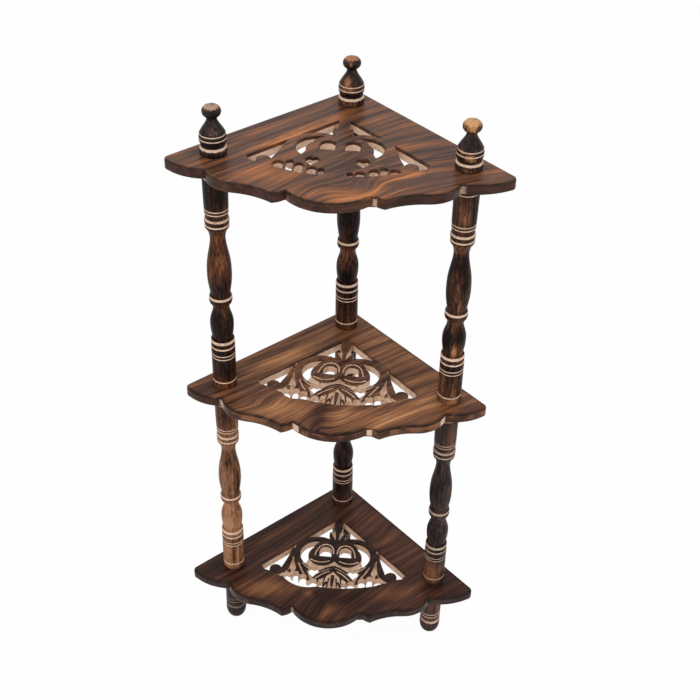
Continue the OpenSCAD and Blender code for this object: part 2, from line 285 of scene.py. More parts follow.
# Lines cut into the strokes and the ground with a narrow gouge, which show pale
cuts = [
    [(-24.5, 23), (-22.6, 31), (-19.5, 37.6), (-15.5, 40.8), (-11, 41.6), (-6, 39.6), (-3, 34),
     (-2.2, 27)],
    [(-28.5, 16), (-23, 12.8), (-15, 11.8), (-6, 14.6)],
    [(-42.5, 8), (-38.5, -1), (-30.5, -14)],
    [(-38, 9.5), (-33.5, 4), (-29, 0.5)],
    [(-5, -2), (-12, -6.5), (-20, -14)],
    [(-1.5, 4.5), (-9, 0.5), (-18, -5)],
    [(-50, 16), (-48.5, 4), (-48, -9)],
    [(-3.6, 62), (-2.6, 52)],
    [(-2.6, -8), (-4, -22)],
]
# Creases between the petals, cut in and coloured dark
creases = [
    [(-9, -9), (-12.5, -25)], [(-16.5, -13), (-20, -25)], [(-4.5, -10), (-6, -26)],
    [(-31, -13), (-35, -24)], [(-40, -11), (-42, -24)], [(-49.5, -10), (-52.5, -19)],
    [(-57, -8), (-61, -14)], [(-1, 9), (-9, 5.5), (-17, 1)], [(-30, 5), (-24, 1.5)],
    [(-26, -6), (-22, -12)], [(-12.5, 48), (-10.5, 57)],
]
stroke_step = 2.5
crown, crown_w = 0.9, 3.2
side_slope = 2.6
border_drop, border_w = 0.7, 1.6
cut_w, cut_depth = 0.8, 1.3
crease_depth = 0.6


def stroke_gap(points, line):
    """Distance from each point to the edge of a stroke, less than 0 on the stroke. A line with no half
    widths is as thin as can be."""
    line = np.array(line, float)
    if line.shape[1] == 2:
        line = np.column_stack([line, np.zeros(len(line))])
    line = fill_curve(line, stroke_step, closed=False)
    best = np.full(len(points), np.inf)
    for a, b in zip(line[:-1], line[1:]):
        run = b[:2] - a[:2]
        t = np.clip(((points - a[:2]) @ run) / (run @ run), 0, 1)
        off = np.linalg.norm(points - a[:2] - t[:, None] * run, axis=1) - a[2] - t * (b[2] - a[2])
        best = np.minimum(best, off)
    return best


def carve(points):
    """Depth of the carved face below the board's face, how far the wood is cut bare, and how far it is
    the top of a stroke, at each point."""
    flipped = np.column_stack([-abs(points[:, 0]), points[:, 1]])
    x, y = flipped.T
    into_panel = np.minimum(
        (panel_back - y + x) / math.sqrt(2), panel_arc_r - np.hypot(x, y - panel_arc_y)
    )
    height = np.maximum(-ground_depth, -crown - side_slope * into_panel)
    border = -border_drop * np.clip(1 + into_panel / border_w, 0, 1) ** 2
    height = np.where(into_panel < 0, border, height)
    nearest = into_panel.copy()
    for depth, line in strokes:
        gap = stroke_gap(flipped, line)
        top = -depth - crown * (1 - np.clip(-gap / crown_w, 0, 1)) ** 2
        side = -depth - crown - side_slope * gap
        raised = np.maximum(height, np.where(gap < 0, top, side))
        height = np.where(into_panel > 0, raised, height)
        nearest = np.minimum(nearest, gap)
    bare = ease(nearest, -0.2, 0.9)
    stroke = 1 - ease(nearest, -0.8, 0.4)
    stroke = np.where(into_panel > 0, stroke, 0.6 * ease(into_panel, -3, 0))
    for line in cuts:
        cut = 1 - ease(stroke_gap(flipped, line), cut_w * 0.4, cut_w * 1.5)
        height = height - cut_depth * cut
        bare = np.maximum(bare, cut)
    for line in creases:
        crease = 1 - ease(stroke_gap(flipped, line), 0.3, 1.3)
        height = height - crease_depth * crease
        bare = bare * (1 - crease)
        stroke = np.maximum(stroke, crease)
    return -height, bare, stroke


def as_drawn(node, points):
    """The points of a board in the coordinates in which its carving is drawn."""
    x, y, turned = panel_places[node]
    turned = math.radians(-turned)
    off = points - [x, y]
    return np.column_stack([
        off[:, 0] * math.cos(turned) - off[:, 1] * math.sin(turned),
        off[:, 0] * math.sin(turned) + off[:, 1] * math.cos(turned),
    ]) / panel_scale


# Spacing of the points along the edge, in the panel and on the plain wood, rings of points beside the edge,
# by their distance from it, and the area under which a triangle is only a sliver along a straight edge
outline_step, panel_step, plain_step = 2.2, 0.8, 6
row_share = 0.866
sliver_area = 0.0002
rim_rings = (0.3, 0.7, 1.2, edge_round, 4.5, 7.5)
board_half = (round(cad_box[1][0] / MM), round(cad_box[1][1] / MM))
panel_low, panel_high = (-98, -74), (98, 64)
bore_wide = 6.5


def triangles(loops, extra):
    """Points and triangles that fill the edge and leave the openings free, and which of the points are
    the loops' own."""
    rim_points = np.concatenate(loops)
    every = np.concatenate([rim_points, extra])
    sides = []
    start = 0
    for loop in loops:
        ids = list(range(start, start + len(loop)))
        sides += list(zip(ids, ids[1:] + ids[:1]))
        start += len(loop)
    out, _, faces, origin, _, _ = geometry.delaunay_2d_cdt(
        [Vector(p) for p in every.tolist()], sides, [], 0, 1e-5, True
    )
    place = np.array([(v.x, v.y) for v in out])
    faces = np.array([list(f) for f in faces])
    faces = faces[within(place[faces].mean(1), loops)]
    first, second, third = place[faces].transpose(1, 2, 0)
    (along_x, along_y), (over_x, over_y) = second - first, third - first
    faces = faces[(along_x * over_y - along_y * over_x) / 2 > sliver_area]
    index = {}
    for new, olds in enumerate(origin):
        for old in olds:
            index[old] = new
    return place, faces, [index[i] for i in range(len(rim_points))]


def grid(low, high, spacing):
    """Points in staggered rows over a rectangle."""
    across = np.arange(low[0], high[0], spacing)
    rows = []
    for i, y in enumerate(np.arange(low[1], high[1], spacing * row_share)):
        rows.append(np.column_stack([across + spacing / 2 * (i % 2), np.full(len(across), y)]))
    return np.concatenate(rows)


def rounded_drop(gap):
    """How far the rounded-over edge has dropped at a distance inside the outline."""
    d = np.clip(gap, 0, edge_round)
    return edge_round - np.sqrt(edge_round ** 2 - (edge_round - d) ** 2)


def is_bore(loop):
    """Whether a loop is the round hole for a stud."""
    wide, deep = np.ptp(loop, axis=0)
    return abs(wide - deep) < 0.05 and wide < bore_wide


def board_faces(node):
    """One face of a board: its points, triangles, loops and distances, as if all were flat."""
    loops = plan_loops(node)
    bores = [loop for loop in loops if is_bore(loop)]
    outline = fill_curve(loops[0], outline_step)
    openings = [fill_curve(loop, panel_step) for loop in loops[1:] if not is_bore(loop)]
    loops = [outline] + openings + bores
    way = np.roll(outline, -1, 0) - np.roll(outline, 1, 0)
    inward = np.column_stack([-way[:, 1], way[:, 0]]) / np.linalg.norm(way, axis=1)[:, None]
    rings = []
    for d in rim_rings:
        ring = outline + inward * d
        rings.append(ring[gap_to(ring, [outline]) > d * 0.93])
    field = grid(panel_low, panel_high, panel_step)
    flat = as_drawn(node, field)
    across = abs(flat[:, 0]) + flat[:, 1] < panel_back + 3.5
    front = np.hypot(flat[:, 0], flat[:, 1] - panel_arc_y) < panel_arc_r + 2.5
    field = field[across & front]
    coarse = grid((-board_half[0], -board_half[1]), board_half, plain_step)
    coarse = coarse[gap_to(coarse, [field]) > plain_step / 2]
    extra = np.concatenate([field, coarse])
    extra = extra[within(extra, loops)]
    extra = extra[gap_to(extra, openings + bores) > panel_step * 0.55]
    extra = extra[gap_to(extra, [outline]) > rim_rings[-1]]
    rings = np.concatenate(rings)
    rings = rings[within(rings, loops)]
    place, faces, index = triangles(loops, np.concatenate([extra, rings]))
    return {
        "loops": loops, "openings": len(openings), "place": place, "faces": faces, "index": index,
        "edge_gap": gap_to(place, [fill_curve(outline, 0.5)]), "hole_gap": gap_to(place, openings),
    }


# How each board's wood looks. slopes: the slant of the grain at places from left to right. swirls: rises
# and dips in the grain that make nested curves. spots: places that came out lighter (+) or darker (-).
# Both are ovals of x, y, half length, half width, turn and strength. The notch entries are painted light:
# paler places on the edge, where its faces in the notches turn to the light.
board_looks = {
    "shelf_top": {
        "dark": (52, 30, 24), "mid": (98, 66, 50), "light": (148, 90, 52), "bright": (196, 124, 72),
        "edge": (70, 45, 38), "char": 0.25, "stroke": 0.0, "shine": 0.14, "rim": 2.0, "contrast": 1.5,
        "slopes": ((-130, 0.95), (-50, 1.0), (0, 1.1), (45, 0.8), (80, 0.5), (150, 0.45)),
        "swirls": ((24, -90, 21, 15, 20, 15), (-22, -88, 22, 22, 0, -8), (70, -62, 26, 9, 15, 5)),
        "spots": (
            (-50, 12, 62, 7, 45, 0.40), (-14, 48, 14, 8, 50, 0.25), (-66, -68, 34, 17, 15, 0.44),
            (-104, -58, 20, 9, 60, -0.16), (8, -101, 44, 13, 0, 0.45), (62, -53, 26, 8, 20, 0.30),
            (52, -84, 30, 8, 20, 0.2),
            (56, 2, 18, 7, 30, 0.22), (28, 52, 16, 7, 35, 0.12), (-150, -44, 12, 9, 40, 0.18),
            (148, -46, 14, 9, 40, 0.2), (-25, -76, 16, 9, 60, -0.08), (100, -10, 22, 6, 25, -0.1),
        ),
        "notches": ((-40, -97, 4, 0.5), (37, -97, 4, 0.55), (-118, -66, 5, 0.48), (116, -68, 5, 0.5)),
    },
    "shelf_middle": {
        "dark": (68, 41, 30), "mid": (124, 82, 58), "light": (168, 114, 76), "bright": (210, 152, 104),
        "edge": (148, 98, 68), "char": 0.2, "stroke": 0.5, "shine": 0.1, "rim": 3.5, "contrast": 1.4,
        "slopes": ((-130, 0.8), (-50, 0.9), (0, 0.95), (60, 0.8), (150, 0.75)),
        "swirls": ((-14, -88, 14, 26, 0, -12), (-75, -70, 30, 10, 10, 7)),
        "spots": (
            (-92, -34, 32, 18, 45, -0.16), (-24, 44, 22, 8, 45, -0.16), (-56, -76, 30, 13, 14, 0.40),
            (-15, -80, 24, 7, 80, -0.45), (12, -72, 22, 9, 65, 0.45), (62, -72, 44, 13, 25, 0.28),
            (98, -38, 24, 15, 40, 0.26), (18, -109, 20, 6, 5, -0.55), (42, 62, 14, 10, 45, 0.12),
            (-56, 14, 46, 14, 45, 0.26), (70, 12, 24, 13, -40, -0.08), (-44, -64, 16, 10, 20, 0.2),
            (40, -78, 30, 9, 10, 0.1), (134, -46, 20, 12, -30, -0.16), (-132, -46, 24, 12, 35, -0.28),
        ),
        "notches": ((-38, -95, 5, 0.9), (40, -95, 3.5, 0.75), (114, -66, 6, 0.7), (-118, -64, 6, 0.6)),
    },
    "shelf_bottom": {
        "dark": (40, 22, 16), "mid": (69, 41, 31), "light": (106, 67, 46), "bright": (144, 96, 62),
        "edge": (72, 56, 52), "char": 0.25, "stroke": 0.7, "shine": 0.12, "rim": 5.0, "contrast": 1.1,
        "slopes": ((-130, 0.9), (-40, 1.1), (0, 1.5), (60, 1.1), (150, 0.8)),
        "swirls": ((-10, -85, 30, 18, 0, -10), (60, 20, 30, 20, 0, 8)),
        "spots": (
            (62, 26, 54, 24, -45, 0.18), (-74, -72, 36, 14, 12, 0.66), (12, -80, 34, 14, 0, -0.22),
            (-26, -76, 11, 4, -60, 0.5), (4, -98, 18, 5, 45, 0.5), (78, -66, 32, 11, 20, 0.34),
            (132, -46, 20, 12, -30, -0.14), (-130, -46, 24, 12, 30, -0.24), (-50, 40, 60, 14, 45, -0.04),
        ),
        "notches": ((-42, -98, 3, 0.55), (41, -97, 3, 0.48)),
    },
}


def soft_spots(spots, xy):
    """The sum of soft oval spots at each point."""
    total = np.zeros(len(xy))
    for x, y, long, wide, turned, strength in spots:
        turned = math.radians(turned)
        off = xy - [x, y]
        along = (off[:, 0] * math.cos(turned) + off[:, 1] * math.sin(turned)) / long
        across = (off[:, 1] * math.cos(turned) - off[:, 0] * math.sin(turned)) / wide
        total += strength * np.exp(-along ** 2 - across ** 2)
    return total


def grain_place(look, xyz):
    """Where each point lies along and across the grain."""
    at, slope = zip(*look["slopes"])
    x = np.linspace(-170, 170, 69)
    rise = np.cumsum(np.interp(x, at, slope)) * (x[1] - x[0])
    across = (xyz[:, 1] - np.interp(xyz[:, 0], x, rise)) * 0.7 + soft_spots(look["swirls"], xyz[:, :2])
    return np.column_stack([(xyz[:, 0] + xyz[:, 1]) * 0.7, across, xyz[:, 2]])


def keep_values(mesh, title, values):
    """Keeps one number for each point of a mesh, for its material to read."""
    layer = mesh.attributes.new(title, "FLOAT", "POINT")
    layer.data.foreach_set("value", np.concatenate(values).astype(np.float32))


def opening_levels(node, carved_up, top_z, low_z):
    """Heights along the wall of a sawn opening from the carved face, each with how pale the wood is
    there. The flame has reached into the upper end of the opening, and the rest of it is pale."""
    if carved_up:
        char_z = np.minimum(top_z - 0.3, board_t - char_depths[node])
        char_z = np.maximum(char_z, low_z + 1.6)
        sunk = ease(board_t - top_z, 1.5, 3.5)
        return (
            (top_z, 0.9 * sunk), (np.maximum(char_z + 0.5, top_z - 0.2), sunk),
            (char_z - 0.5, 0.95), (low_z + 0.8, 1.0), (low_z, 0.3),
        )
    char_z = low_z + char_depths[node]
    return (
        (top_z, 1.0), (np.maximum(top_z - 0.8, char_z + 1.5), 1.0),
        (char_z + 0.5, 0.95), (char_z - 0.5, 0.0), (low_z, 0.0),
    )


# Where the two rows of points on the sawn edge stand, as shares of the board's thickness, how dark the
# flame left the corners of the edge and of the openings, and how the plain face is worn at the openings
edge_rows = (0.78, 0.24)
edge_char, opening_char, opening_char_w = 0.95, 0.8, 1.6
edge_side_char, opening_side_char = 0.25, 0.5
worn_drop, worn_w = 0.45, 0.9


def make_board(node, carved_up):
    """A board as one mesh, with its bare and scorched places kept as values of its points."""
    face = board_faces(node)
    look = board_looks[node]
    place = face["place"]
    depth, bare, stroke = carve(as_drawn(node, place))
    drop = rounded_drop(face["edge_gap"])
    carved_z = board_t - np.maximum(depth, drop)
    plain_z = np.maximum(drop, worn_drop * (1 - ease(face["hole_gap"], 0, worn_w)))
    near_edge = edge_char * (1 - ease(face["edge_gap"], 0.3, look["rim"]))
    near_hole = opening_char * (1 - ease(face["hole_gap"], 0, opening_char_w))
    points, tris, bares, rims, sides = [], [], [], [], []

    def add(xy, z, bare_here, rim_here, side_here=0.0):
        """Adds points with what is kept for them, and gives the number of the first."""
        start = sum(len(p) for p in points)
        points.append(np.column_stack([xy, z if carved_up else board_t - z]))
        bares.append(np.full(len(xy), bare_here))
        rims.append(np.full(len(xy), rim_here))
        sides.append(np.full(len(xy), side_here))
        return start

    top = add(place, carved_z, bare, np.maximum(near_edge, look["stroke"] * stroke))
    low = add(place, plain_z, 0.0, np.maximum(near_edge, near_hole))
    tris.append(face["faces"] + top)
    tris.append(face["faces"][:, ::-1] + low)
    index = np.array(face["index"])
    start = 0
    quads = []
    for number, loop in enumerate(face["loops"]):
        ids = index[start:start + len(loop)]
        start += len(loop)
        if number == 0:
            # The sawn edge, darkest at its two corners, and painted paler in the notches, where its faces
            # turn to the light: painted light
            notch_light = sum(
                share * (1 - ease(np.hypot(*(place[ids] - [x, y]).T), r * 0.5, r * 1.5))
                for x, y, r, share in look["notches"]
            )
            between = [
                add(place[ids], np.full(len(ids), board_t * share), notch_light, edge_side_char, 1.0)
                + np.arange(len(ids)) for share in edge_rows
            ]
            rows = [top + ids] + between + [low + ids]
            bares[0][ids] = notch_light
            bares[1][ids] = notch_light * 0.6
        else:
            rows = []
            sawn = number <= face["openings"]
            for z, pale in opening_levels(node, carved_up, carved_z[ids], plain_z[ids]):
                rows.append(add(place[ids], z, pale * sawn, opening_side_char) + np.arange(len(ids)))
        for high, under in zip(rows[:-1], rows[1:]):
            quads.append(np.column_stack([under, np.roll(under, -1), np.roll(high, -1), high]))
    co = np.concatenate(points)
    faces = np.concatenate(tris).tolist() + np.concatenate(quads).tolist()
    if not carved_up:
        faces = [f[::-1] for f in faces]
    low_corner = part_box(node)[0]
    mesh = bpy.data.meshes.new(node + "_wood")
    mesh.from_pydata(((co + [0, 0, low_corner.z / MM]) * MM).tolist(), [], faces)
    lift = soft_spots(look["spots"], co[:, :2])
    for title, values in (("bare", bares), ("rim", rims), ("side", sides), ("lift", [lift])):
        keep_values(mesh, title, values)
    layer = mesh.attributes.new("grain_place", "FLOAT_VECTOR", "POINT")
    layer.data.foreach_set("vector", grain_place(look, co).astype(np.float32).ravel())
    mesh.polygons.foreach_set("use_smooth", [True] * len(mesh.polygons))
    mesh.set_sharp_from_angle(angle=math.radians(42))
    mesh.update()
    board = bpy.data.objects.new(node + "_wood", mesh)
    bpy.context.scene.collection.objects.link(board)
    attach(board, "root")
    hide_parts(node)
    return board


def srgb(*colour):
    """A colour of three numbers up to 255, as a shader takes it."""
    return tuple(
        (c / 255 / 12.92 if c <= 10 else ((c / 255 + 0.055) / 1.055) ** 2.4) for c in colour
    ) + (1.0,)


def noise(tree, place, scale=1.0, detail=2.0, rough=0.5):
    """A soft cloudy value from 0 to 1."""
    sockets = {"Vector": place, "Scale": scale, "Detail": detail, "Roughness": rough}
    return fit(tree, "TexNoise", sockets).outputs[0]


def stretch(tree, place, x, y, z):
    """The place scaled along its three axes."""
    return fit(tree, "VectorMath", {0: place, 1: (x, y, z)}, operation="MULTIPLY").outputs[0]


def step(tree, value, low, high, to_low=0.0, to_high=1.0):
    """A soft step of a value between two levels."""
    return fit(tree, "MapRange", {
        "Value": value, "From Min": low, "From Max": high, "To Min": to_low, "To Max": to_high,
    }, interpolation_type="SMOOTHSTEP").outputs[0]


def mix(tree, share, a, b):
    """Colour b mixed into colour a by a share."""
    return fit(tree, "Mix", {0: share, 6: a, 7: b}, data_type="RGBA").outputs[2]


def shift(tree, place, by):
    """The place moved by another."""
    return fit(tree, "VectorMath", {0: place, 1: by}, operation="ADD").outputs[0]


def kept_value(tree, title):
    """A number that the mesh keeps for each point."""
    return fit(tree, "Attribute", attribute_name=title).outputs["Fac"]


def tone_colours(tree, tone, stops):
    """The colour of a tone from 0 to 1. stops pairs rising tones with colours."""
    ramp = fit(tree, "ValToRGB", {0: tone})
    ends = ramp.color_ramp.elements
    ends[0].position, ends[1].position = stops[0][0], stops[-1][0]
    ends[0].color, ends[1].color = srgb(*stops[0][1]), srgb(*stops[-1][1])
    for position, colour in stops[1:-1]:
        ends.new(position).color = srgb(*colour)
    return ramp.outputs[0]


def new_finish(name):
    """A new material with its node tree and its Principled BSDF."""
    material = bpy.data.materials.new(name)
    material.use_nodes = True
    return material, material.node_tree, material.node_tree.nodes["Principled BSDF"]


def new_group(name, inputs, outputs):
    """An empty node group with named sockets, its input node's outputs and its output node."""
    group = bpy.data.node_groups.new(name, "ShaderNodeTree")
    for title, kind in inputs:
        group.interface.new_socket(name=title, in_out="INPUT", socket_type="NodeSocket" + kind)
    for title, kind in outputs:
        group.interface.new_socket(name=title, in_out="OUTPUT", socket_type="NodeSocket" + kind)
    return group, group.nodes.new("NodeGroupInput").outputs, group.nodes.new("NodeGroupOutput").inputs


# Grain of the hardwood, shared by the boards and the turned pieces. Its place is in millimetres, with x
# along the grain. The grain wanders sideways by up to grain_drift, and each kind of mark has its own
# fineness along and across the grain.
grain_drift = 9
grain_marks = {
    "Streaks": ((0.013, 0.46, 0.46), 5.0), "Bands": ((0.006, 0.13, 0.13), 3.0),
    "Pores": ((0.03, 1.1, 1.1), 2.0),
}
grain, grain_in, grain_out = new_group(
    "hardwood_grain", [("Place", "Vector")], [(title, "Float") for title in grain_marks]
)
cloud_place = stretch(grain, grain_in["Place"], 0.006, 0.02, 0.02)
drift = fit(grain, "TexNoise", {"Vector": cloud_place, "Scale": 1.0, "Detail": 1.0}).outputs["Color"]
drift = shift(grain, drift, (-0.5, -0.5, -0.5))
drift = stretch(grain, drift, 0, grain_drift, grain_drift)
drifted = shift(grain, grain_in["Place"], drift)
for title, (fineness, detail) in grain_marks.items():
    value = noise(grain, stretch(grain, drifted, *fineness), detail=detail, rough=0.6)
    if title == "Pores":
        value = step(grain, value, 0.54, 0.68)
    grain.links.new(value, grain_out[title])

# Wood that the gouge or the lathe tool has cut bare: pale, with fine lines of grain and a few brown
# smears
cut_tan, cut_cream, cut_smear = (214, 178, 150), (240, 212, 188), (164, 116, 86)
cut_wood, cut_in, cut_out = new_group("cut_wood", [("Place", "Vector")], [("Colour", "Color")])
fine_lines = noise(cut_wood, stretch(cut_wood, cut_in["Place"], 0.08, 1.3, 1.3), detail=3.0)
smears = noise(cut_wood, cut_in["Place"], 0.16, 3.0, 0.6)
pale = mix(cut_wood, step(cut_wood, fine_lines, 0.3, 0.7), srgb(*cut_tan), srgb(*cut_cream))
pale = mix(cut_wood, step(cut_wood, smears, 0.52, 0.75, 0.0, 0.7), pale, srgb(*cut_smear))
cut_wood.links.new(pale, cut_out["Colour"])


def grain_bump(tree, shader, grained, strength):
    """Makes the streaks stand a little proud and the open pores sink in."""
    hollows = calc(tree, "SUBTRACT", calc(tree, "MULTIPLY", grained["Streaks"], 0.5), grained["Pores"])
    bump = fit(tree, "Bump", {"Height": hollows, "Strength": strength, "Distance": 0.0003})
    tree.links.new(bump.outputs[0], shader.inputs["Normal"])


cloud_brown, soot_brown = (52, 36, 34), (30, 19, 17)


def board_finish(node):
    """Scorched and waxed board wood."""
    look = board_looks[node]
    material, tree, shader = new_finish("scorched_" + node)
    along = fit(tree, "Attribute", attribute_name="grain_place").outputs["Vector"]
    grained = fit(tree, "Group", {"Place": along}, node_tree=grain).outputs
    lift = kept_value(tree, "lift")
    streaks = calc(tree, "MULTIPLY", calc(tree, "SUBTRACT", grained["Streaks"], 0.5), look["contrast"])
    tone = calc(tree, "ADD", streaks, calc(tree, "MULTIPLY", grained["Bands"], 1.2))
    tone = calc(tree, "ADD", calc(tree, "SUBTRACT", tone, 0.15), lift)
    colour = tone_colours(tree, tone, (
        (0.15, look["dark"]), (0.45, look["mid"]), (0.74, look["light"]), (1.0, look["bright"]),
    ))
    colour = mix(tree, calc(tree, "MULTIPLY", grained["Pores"], 0.5), colour, srgb(*look["dark"]))
    # The flame leaves cloudy darker patches, and a dark line round every edge
    clouds = noise(tree, stretch(tree, along, 0.012, 0.03, 0.03), detail=3.0, rough=0.55)
    char = step(tree, clouds, 0.45, 0.7, 0.0, look["char"])
    colour = mix(tree, char, colour, srgb(*cloud_brown))
    side = kept_value(tree, "side")
    blotch = noise(tree, along, 0.07, 3.0)
    sawn = step(tree, calc(tree, "ADD", blotch, calc(tree, "MULTIPLY", lift, 0.2)), 0.42, 0.62)
    sawn = mix(tree, sawn, srgb(*look["dark"]), srgb(*look["edge"]))
    colour = mix(tree, calc(tree, "MULTIPLY", side, 0.8), colour, sawn)
    ragged = noise(tree, along, 0.09, 3.0)
    burnt = calc(tree, "MULTIPLY", kept_value(tree, "rim"), step(tree, ragged, 0.25, 0.6, 0.5, 1.0))
    colour = mix(tree, burnt, colour, srgb(*soot_brown))
    # The bare wood has a speckled border, less so on the sawn edge
    speck = calc(tree, "SUBTRACT", noise(tree, along, 0.5, 3.0), 0.5)
    speck = calc(tree, "MULTIPLY", speck, calc(tree, "SUBTRACT", 0.9, calc(tree, "MULTIPLY", side, 0.65)))
    bare = step(tree, calc(tree, "ADD", kept_value(tree, "bare"), speck), 0.35, 0.7)
    pale_wood = fit(tree, "Group", {"Place": along}, node_tree=cut_wood).outputs[0]
    colour = mix(tree, bare, colour, pale_wood)
    tree.links.new(colour, shader.inputs["Base Color"])
    shader.inputs["Specular IOR Level"].default_value = look["shine"]
    rough = calc(tree, "ADD", calc(tree, "MULTIPLY", grained["Streaks"], 0.16), 0.24)
    rough = calc(tree, "ADD", rough, calc(tree, "MULTIPLY", bare, 0.4), clamp=True)
    tree.links.new(rough, shader.inputs["Roughness"])
    grain_bump(tree, shader, grained, 0.3)
    return material


for node in board_nodes:
    board = make_board(node, carved_up=node != "shelf_top")
    board.data.materials.append(board_finish(node))

# Turned pieces: feet, spindles and finials of the same hardwood, turned on a lathe, scorched nearly black
# in places, and then cut through again at the beads and fine rings, which show the pale wood. Each stands
# on the board below it and is drawn tight by a hidden steel stud.


def across_and_high(node):
    """How wide and how high a node's box is, in millimetres."""
    low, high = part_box(node)
    return (high.x - low.x) / MM, (high.z - low.z) / MM


post_wide, bay_h = across_and_high("lower_spindle_left")
post_r = post_wide / 2
foot_h = across_and_high("foot_left")[1]
finial_h = across_and_high("finial_left")[1]
bore_r, bore_depth = 3.1, 18.5
ring_cut, low_ring_cut, ring_depth = 1.1, 1.5, 0.5


def cut_ring(z, r, wide=ring_cut):
    """A fine ring cut with the point of the tool: rows of radius, height and bareness."""
    return [
        (r, z - wide * 0.7, 0.0), (r - 0.1, z - wide * 0.5, 0.9), (r - ring_depth, z, 1.0),
        (r - 0.1, z + wide * 0.5, 0.9), (r, z + wide * 0.7, 0.0),
    ]


bead_steps, swell_steps, draw_steps = 24, 10, 20


def bead(z, h, r0, r1, bare_from, bare_to):
    """A round bead, cut bare between two shares of its height."""
    rows = []
    for i in range(bead_steps + 1):
        t = math.radians(180 * i / bead_steps)
        share = (1 - math.cos(t)) / 2
        rows.append((r0 + (r1 - r0) * math.sin(t), z + h * share, 1.0 * (bare_from < share < bare_to)))
    return rows


def vase(z, h, up, r0, r1, r2, fullness=1.3):
    """A vase that swells from r0 to r1 over the height up, then draws in to r2."""
    rows = []
    for i in range(swell_steps + 1):
        swell = math.sin(math.radians(90 * i / swell_steps))
        rows.append((r0 + (r1 - r0) * swell, z + up * i / swell_steps, 0.0))
    for i in range(1, draw_steps + 1):
        t = i / draw_steps
        swing = (1 + math.cos(math.radians(180 * t ** fullness))) / 2
        rows.append((r2 + (r1 - r2) * swing, z + up + (h - up) * t, 0.0))
    return rows


def plain(z0, z1, r0, r1):
    """A plain stretch between two heights."""
    count = max(2, round((z1 - z0) / 3))
    return [(r0 + (r1 - r0) * i / count, z0 + (z1 - z0) * i / count, 0.0) for i in range(count + 1)]


# The spindle's parts from the bottom up, the necks of its two vases, and its fine rings
base_h, low_bead_h, small_vase_h, mid_bead_h, big_vase_h = 54, 6.7, 39, 10, 67.5
cove_h, neck_h, flare_h, twin_bead_h = 1.8, 6, 11, 6
small_neck_r, big_neck_r = 8.6, 7.8
low_bead_z = base_h + cove_h
small_vase_z = low_bead_z + low_bead_h
mid_bead_z = small_vase_z + small_vase_h + neck_h
big_vase_z = mid_bead_z + mid_bead_h + cove_h
flare_z = big_vase_z + big_vase_h
twin_bead_z = flare_z + flare_h
head_z = twin_bead_z + 2 * twin_bead_h
low_ring_z, pair_ring_z = base_h - 45, (base_h - 14.1, base_h - 10)
head_ring_z, top_ring_z = (head_z + 6.6, head_z + 10.4), bay_h - 13
corner_round = 0.6


def spindle_rows():
    """Profile of a spindle from the bottom up."""
    rows = [(bore_r, bore_depth, 0), (bore_r, 0, 0)]
    rows += [(post_r - corner_round, 0, 0), (post_r, corner_round, 0)]
    # Base, with one ring low down, two below its head, and a pale chamfer
    rows += cut_ring(low_ring_z, post_r, low_ring_cut) + plain(13, 36, post_r, post_r)
    rows += cut_ring(pair_ring_z[0], post_r) + cut_ring(pair_ring_z[1], post_r)
    rows += [(post_r, base_h - 2.4, 0.0), (post_r - 0.1, base_h - 2.0, 0.9)]
    rows += [(post_r - 0.1, base_h - 0.7, 1.0), (post_r - 0.3, base_h, 0.3)]
    rows += [(post_r - 1.2, base_h + 0.6, 0.0), (post_r - 1.6, base_h + 1.2, 0.0)]
    # Bead, small vase, bead, tall vase, and the neck that flares out to the head
    rows += bead(low_bead_z, low_bead_h, post_r - 1.4, post_r, 0.48, 0.9)
    rows += vase(small_vase_z, small_vase_h, small_vase_h * 0.46, post_r - 2.4, post_r - 0.3, small_neck_r)
    rows += [(small_neck_r + 0.3, mid_bead_z - neck_h / 2, 0.0)]
    rows += bead(mid_bead_z, mid_bead_h, small_neck_r + 2, post_r - 0.6, 0.64, 0.92)
    rows += vase(big_vase_z, big_vase_h, big_vase_h * 0.35, post_r - 2.6, post_r, big_neck_r)
    rows += [(big_neck_r + 0.5, flare_z + flare_h * 0.3, 0)]
    rows += [(big_neck_r + 1.4, flare_z + flare_h * 0.65, 0)]
    rows += bead(twin_bead_z, twin_bead_h, post_r - 1.4, post_r - 0.3, 0.58, 0.86)
    rows += bead(twin_bead_z + twin_bead_h, twin_bead_h, post_r - 1.2, post_r - 0.1, 0.66, 1.1)
    # Head, with a dark groove, two rings, and one ring near the top
    rows += [(post_r - 1.4, head_z + 0.4, 0.0), (post_r - 1.4, head_z + 4.3, 0.0)]
    rows += [(post_r - 0.7, head_z + 5, 0.0)]
    rows += cut_ring(head_ring_z[0], post_r - 0.7) + cut_ring(head_ring_z[1], post_r - 0.5)
    rows += plain(head_z + 14, bay_h - 16, post_r - 0.4, post_r) + cut_ring(top_ring_z, post_r)
    rows += [(post_r, bay_h - 6, 0), (post_r, bay_h - corner_round, 0), (post_r - corner_round, bay_h, 0)]
    return rows + [(bore_r, bay_h, 0), (bore_r, bay_h - bore_depth, 0)]


# The finial's disc, vase and knob. Turns are in degrees up the side of the knob from its widest place.
disc_h, disc_r, finial_neck_r, knob_r, knob_h, knob_cut = 8, 13.4, 4.9, 9.3, 14, 45
cove_top, vase_belly, vase_foot_r = disc_h + 1.6, 6.4, 11.4
top_crown, neck_turn, knob_turn = 0.2, -62, -54
knob_z = finial_h - top_crown - math.sin(math.radians(knob_cut)) * knob_h / 2
knob_from = knob_z + math.sin(math.radians(neck_turn)) * knob_h / 2
vase_ring_z = (17.0, 21.3)


